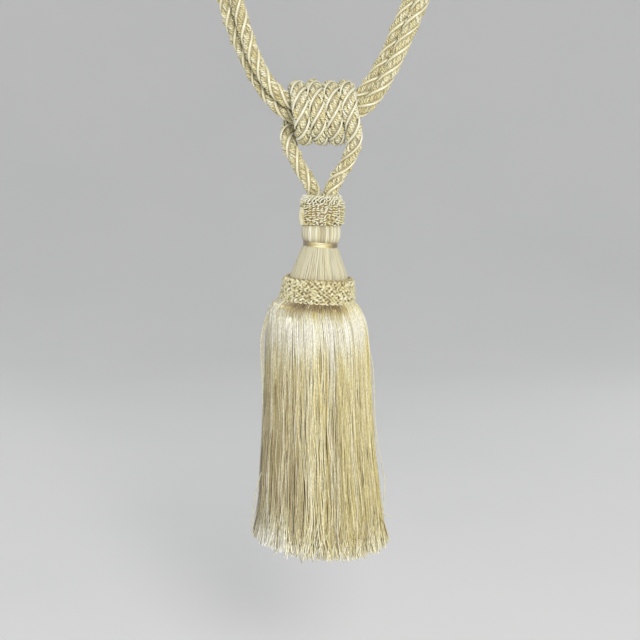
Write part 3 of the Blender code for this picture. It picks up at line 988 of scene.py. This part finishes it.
# How uneven the yarns hang. A lock is a group of yarns that keep together, and a bunch is two locks
# that lean the same way at their cut ends.
LOCK_DRAW = 0.12
LOCK_PROUD = 0.22 * MM
LOCK_SWAY = 0.9 * MM
YARN_PROUD = 0.42 * MM
YARN_SWAY = 0.85 * MM
YARN_SPREAD = 1.2 * MM
SPLAY_FROM = 0.84
SPLAY = 0.7 * MM
LOCK_SPLAY = 0.7 * MM
YARN_SPLAY = 1.2 * MM
BUNCH_LEAN = 3.8 * MM
YARN_LEAN = 3.4 * MM
LENGTH_SPREAD = 0.009
LOCK_LENGTH_SPREAD = 0.004
SIDES_SHORTER = 0.018

# How their tone and tint change down the skirt and round it.
SKIRT_TONE = 0.66
SKIRT_TINT = 0.70
SKIRT_ZONES = 34
ZONE_TONE = 0.105
SHADE_FROM = 0.1405
SHEEN_DROP = 0.160
SHEEN_WIDTH = 0.016
SHEEN_TONE = 0.33
CUT_FROM = 0.965
CUT_TONE = 0.40
# Where the cut ends fan out and show pale: (degrees round the axis, half width in radians, how pale).
FANNED_ENDS = ((213, 0.36, 1.0), (328, 0.28, 0.5))
FANNED_FROM = 0.82
FANNED_TONE = 0.34


def uneven_round(angle, knots):
    """Smooth random values round the axis, about 1 in size."""
    values = random.normal(size=knots)
    return np.interp(angle / TAU * knots, np.arange(knots), values, period=knots)


def skirt_lines(even, lock, locks, inside, rings):
    """A layer's yarns, and how low each point is from 0 to 1, its drop, how proud it is and how splayed."""
    count = len(even)
    radius, drop = down(OUTER_PROFILE, rings)
    low = np.clip((drop - SKIRT_TOP) / (SKIRT_FOOT - SKIRT_TOP), 0, 1)
    middle = TAU * (lock + 0.5) / locks
    drawn = LOCK_DRAW * low * (1 - 0.4 * low)
    angle = even[:, None] + drawn * (middle - even)[:, None]

    lock_out = (LOCK_PROUD * random.normal(size=locks))[lock][:, None]
    lock_sway = (LOCK_SWAY * wander(locks, rings, 5))[lock]
    proud = 0.5 * scatter(count) + 0.8 * wander(count, rings, 9)
    out = radius - inside * (0.3 + 0.7 * low) + (lock_out + YARN_PROUD * proud) * (0.35 + 0.8 * low)
    side = (lock_sway + YARN_SWAY * wander(count, rings, 9)) * np.clip(3 * low, 0.15, 1)
    side += YARN_SPREAD * scatter(count) * low**2

    tip = np.clip((low - SPLAY_FROM) / (1 - SPLAY_FROM), 0, 1) ** 1.6
    lock_splay = (LOCK_SPLAY * random.normal(size=locks))[lock][:, None]
    out += tip * (SPLAY + lock_splay + YARN_SPLAY * scatter(count))
    bunch_lean = BUNCH_LEAN * random.normal(size=locks // 2 + 1)
    side += tip * (bunch_lean[lock // 2][:, None] + YARN_LEAN * scatter(count))

    length = 1 + LENGTH_SPREAD * scatter(count)
    length = length + (LOCK_LENGTH_SPREAD * random.normal(size=locks))[lock][:, None]
    length = length - SIDES_SHORTER * np.cos(even)[:, None] ** 2
    heading = OUTER_PROFILE[0][1]
    drops = heading + (drop - heading) * length
    return hung(angle + side / radius, out, drops), low, drops, proud, tip


def shade_under_band(even, drops):
    """How far each point is in the shade under the gimp band, from 0 to 1. The sides are least so."""
    count = len(even)
    reach = 0.006 + 0.006 * random.random(size=(count, 1))
    near = np.clip(1 - (drops - SHADE_FROM) / reach, 0, 1)
    not_aside = np.clip((np.sin(even) ** 2 - 0.35) / 0.35, 0, 1)
    shaded = (random.random(size=(count, 1)) < 0.96) * (0.1 + 0.9 * not_aside)[:, None]
    return near * shaded


def sheen_on_shoulders(even, drops):
    """How bright the sheen across the skirt's shoulders is at each point, from 0 to 1."""
    middle = SHEEN_DROP + 0.0045 * scatter(len(even)) - 0.006 * np.cos(even)[:, None] ** 2
    return np.exp(-(((drops - middle) / SHEEN_WIDTH) ** 2))


def skirt_looks(even, low, drops, proud, painted_depth_shade):
    """Tone and tint down each yarn of a layer."""
    rightward = np.cos(even)[:, None]
    zones = uneven_round(even, SKIRT_ZONES)
    # Painted light: each yarn is a little brighter to the right and in front, and has a random tone of its
    # own.
    each = 0.05 * np.cos(even) - 0.04 * np.sin(even)
    each = each + 0.18 * np.clip(random.normal(size=len(even)), -1.3, 1.8)
    # Proud yarns are lighter: painted shade on sunk yarns and on the inner layers.
    tones = SKIRT_TONE - painted_depth_shade + each[:, None] + 0.08 * proud + 0.09 * wander(*proud.shape, 15)
    tones += ZONE_TONE * (zones * (1 - 0.55 * np.cos(even)))[:, None] * (0.4 + low)
    # Painted light and shade: half way down the right is brighter than the left, and lower down both sides
    # are dimmer than the front.
    tones += 0.36 * low * (1 - low) * rightward - 0.21 * low * rightward**2 + 0.05 * low
    tones += 0.10 * low * np.minimum(rightward, 0) - 0.07 * low**2 * np.maximum(rightward, 0)

    shade = shade_under_band(even, drops)
    tones = tones * (1 - 0.55 * shade) - 0.30 * shade
    sheen = sheen_on_shoulders(even, drops)
    tones = tones + SHEEN_TONE * sheen
    cut_start = CUT_FROM - 0.04 * random.random(size=(len(even), 1))
    cut = np.clip((low - cut_start) / (1 - CUT_FROM), 0, 1)
    tones = tones + (CUT_TONE + 0.20 * scatter(len(even))) * cut
    fans = sum(pale * np.exp(-(((even - math.radians(at)) / half) ** 2)) for at, half, pale in FANNED_ENDS)
    fanned = fans[:, None] * np.clip((low - FANNED_FROM) / 0.12, 0, 1)
    tones = tones + FANNED_TONE * fanned

    tints = SKIRT_TINT + 0.26 * np.cos(even) + 0.22 * zones + 0.20 * random.normal(size=len(even))
    tints = tints[:, None] + 0.20 * low * rightward + 0.35 * shade
    tints = tints - 0.70 * sheen - 0.55 * fanned - 0.30 * cut
    return np.clip(tones, 0, 1), np.clip(tints, 0, 1)


def skirt_layer(name, count, locks, inside, rings, sides, painted_depth_shade):
    """One layer of the skirt's yarns, which keep together in locks and part again at their cut ends."""
    lock = np.arange(count) * locks // count
    even = TAU * (np.arange(count) + 0.6 * random.normal(size=count)) / count
    lines, low, drops, proud, tip = skirt_lines(even, lock, locks, inside, rings)
    tones, tints = skirt_looks(even, low, drops, proud, painted_depth_shade)
    width = SKIRT_YARN * (1 + 0.12 * scatter(count) + 0.35 * tip)
    heap = Heap()
    heap.tubes(lines, width, sides, tones, tints)
    return heap.piece(name, [skirt_silk(name + "_silk")])


# Loose yarns that leave the skirt's outline, from the knot's centre: (x, y, z).
STRAYS = (
    ((-0.0300, -0.0060, -0.1375), (-0.0370, -0.0070, -0.1450), (-0.0410, -0.0080, -0.1530),
     (-0.0437, -0.0080, -0.1650), (-0.0443, -0.0070, -0.1760), (-0.0435, -0.0060, -0.1950),
     (-0.0428, -0.0060, -0.2300)),
    ((0.0365, -0.0050, -0.1740), (0.0392, -0.0060, -0.1860), (0.0400, -0.0060, -0.1920),
     (0.0406, -0.0060, -0.2040), (0.0458, -0.0040, -0.2600), (0.0488, -0.0030, -0.2750),
     (0.0483, -0.0030, -0.2940), (0.0486, -0.0030, -0.3120), (0.0512, -0.0030, -0.3250)),
    ((-0.0440, -0.0120, -0.2680), (-0.0468, -0.0110, -0.2770), (-0.0490, -0.0100, -0.2880),
     (-0.0511, -0.0090, -0.3020), (-0.0516, -0.0080, -0.3120), (-0.0508, -0.0080, -0.3180)),
    ((0.0440, -0.0140, -0.2965), (0.0490, -0.0120, -0.3005), (0.0534, -0.0100, -0.3030)),
)
# Two more yarns follow the first of these so far inside it, where the skirt's half width is this.
LEFT_STRAYS_INWARD = (1.0 * MM, 1.9 * MM)
LEFT_STRAY_REACH = 40 * MM
STRAY_STEP = 3 * MM
STRAY_SIDES = 6
FLYAWAYS = 12
FLYAWAY_POINTS = 24


def make_strays():
    """Yarns that have come loose from the skirt, and a few all round that stand off it in bows."""
    heap = Heap()
    for route in STRAYS:
        line = smooth_path(route, STRAY_STEP)
        line[:, 2] -= KNOT_DROP
        heap.tubes(line[None], 0.40 * MM, STRAY_SIDES, tones=0.85, tints=0.35)
    for inward in LEFT_STRAYS_INWARD:
        line = smooth_path(STRAYS[0], STRAY_STEP) * (1 - inward / LEFT_STRAY_REACH, 1, 1)
        line[:, 2] -= KNOT_DROP - 0.3 * inward
        heap.tubes(line[None], 0.36 * MM, STRAY_SIDES, tones=0.75, tints=0.30)
    outline = np.array(OUTER_PROFILE)
    part = np.linspace(0, 1, FLYAWAY_POINTS)
    for number in range(FLYAWAYS):
        angle = TAU * (number + 0.5 * random.random()) / FLYAWAYS + 0.2
        start = 0.17 + 0.08 * random.random()
        drop = np.linspace(start, start + 0.04 + 0.02 * random.random(), FLYAWAY_POINTS)
        radius = np.interp(drop, outline[:, 1], outline[:, 0]) + (2.0 * np.sin(math.pi * part) - 0.9) * MM
        drift = 2 * MM * random.normal() * part**2
        line = hung(angle + drift / radius, radius, drop)
        heap.tubes(line[None], 0.34 * MM, STRAY_SIDES, tones=0.75, tints=0.4)
    dress(heap.piece("skirt_strays", [skirt_silk("stray_silk")]))


def make_skirt():
    for name, *sizes in SKIRT_LAYERS:
        node = "skirt" if name == "skirt_outer" else None
        dress(skirt_layer(name, *sizes), node)
    make_strays()


def make_tassel():
    silk = neck_silk()
    gimp = gimp_yarn()
    under = painted_shade_ground("painted_shade_ground")
    make_ruff(gimp, gloss_yarn(), painted_shade_ground("ruff_ground"))
    make_bead([silk, under])
    make_tie(tie_silk())
    make_cone([silk, under])
    make_band(gimp, painted_shade_ground("band_ground"))
    make_skirt()


# --- Studio ---

FLOOR = -0.80
SWEEP_RADIUS = 1.4
STAGE_RADIUS = 3.2
STAGE_HEIGHT = 2.6
STAGE_SIDES = 96
SKY_STRENGTH = 0.42
FLOOR_GREY = colour(0.78, 0.78, 0.78)
FLOOR_WHITE = colour(0.80, 0.80, 0.795)


def area_light(name, azimuth, elevation, distance, size, power, tint=(1.0, 1.0, 1.0)):
    """A round softbox that faces the object. Azimuth 0 is in front, and it grows to the right."""
    data = bpy.data.lights.new(name, "AREA")
    data.shape = "DISK"
    data.size = size
    data.energy = power
    data.color = tint
    light = bpy.data.objects.new(name, data)
    bpy.context.scene.collection.objects.link(light)
    turn, rise = math.radians(azimuth), math.radians(elevation)
    towards = Vector((math.sin(turn) * math.cos(rise), -math.cos(turn) * math.cos(rise), math.sin(rise)))
    light.location = VIEW_CENTRE + distance * towards
    light.rotation_euler = (-towards).to_track_quat("-Z", "Y").to_euler()


def make_stage():
    """A pale floor that sweeps up into a wall all round."""
    turn = np.linspace(0, math.pi / 2, 13)
    radius = [0.4, 1.0, *(STAGE_RADIUS - SWEEP_RADIUS + SWEEP_RADIUS * np.sin(turn)), STAGE_RADIUS]
    height = [FLOOR, FLOOR, *(FLOOR + SWEEP_RADIUS * (1 - np.cos(turn))), FLOOR + STAGE_HEIGHT]
    angle = TAU * np.arange(STAGE_SIDES) / STAGE_SIDES
    points = [(out * math.cos(a), out * math.sin(a), z) for out, z in zip(radius, height) for a in angle]
    faces = [tuple(range(STAGE_SIDES))]
    for ring in range(len(radius) - 1):
        for side in range(STAGE_SIDES):
            here = ring * STAGE_SIDES + side
            after = ring * STAGE_SIDES + (side + 1) % STAGE_SIDES
            faces.append((here, here + STAGE_SIDES, after + STAGE_SIDES, after))
    mesh = bpy.data.meshes.new("floor")
    mesh.from_pydata(points, [], faces)
    mesh.shade_smooth()
    look = Look("floor", roughness=0.8)
    look.paint(look.ramp(look.noise(3.0), (0.3, FLOOR_GREY), (0.7, FLOOR_WHITE)))
    mesh.materials.append(look.material)
    floor = bpy.data.objects.new("floor", mesh)
    bpy.context.scene.collection.objects.link(floor)


def make_studio():
    """A soft sky, a large key light in front, two at the back, one above, and the floor."""
    world = bpy.data.worlds.new("studio")
    bpy.context.scene.world = world
    world.use_nodes = True
    sky = world.node_tree.nodes["Background"]
    sky.inputs["Color"].default_value = colour(0.96, 0.98, 1.0)
    sky.inputs["Strength"].default_value = SKY_STRENGTH
    area_light("key", 10, 19, distance=1.9, size=0.60, power=28, tint=(1.0, 0.988, 0.96))
    area_light("back_right", 135, 12, distance=2.0, size=1.2, power=5)
    area_light("back_left", -130, 12, distance=2.0, size=1.2, power=5)
    area_light("top", 0, 84, distance=2.4, size=2.0, power=11)
    make_stage()


bpy.context.scene.view_settings.view_transform = "Standard"
look_at_object()
make_ropes()
make_tassel()
make_studio()
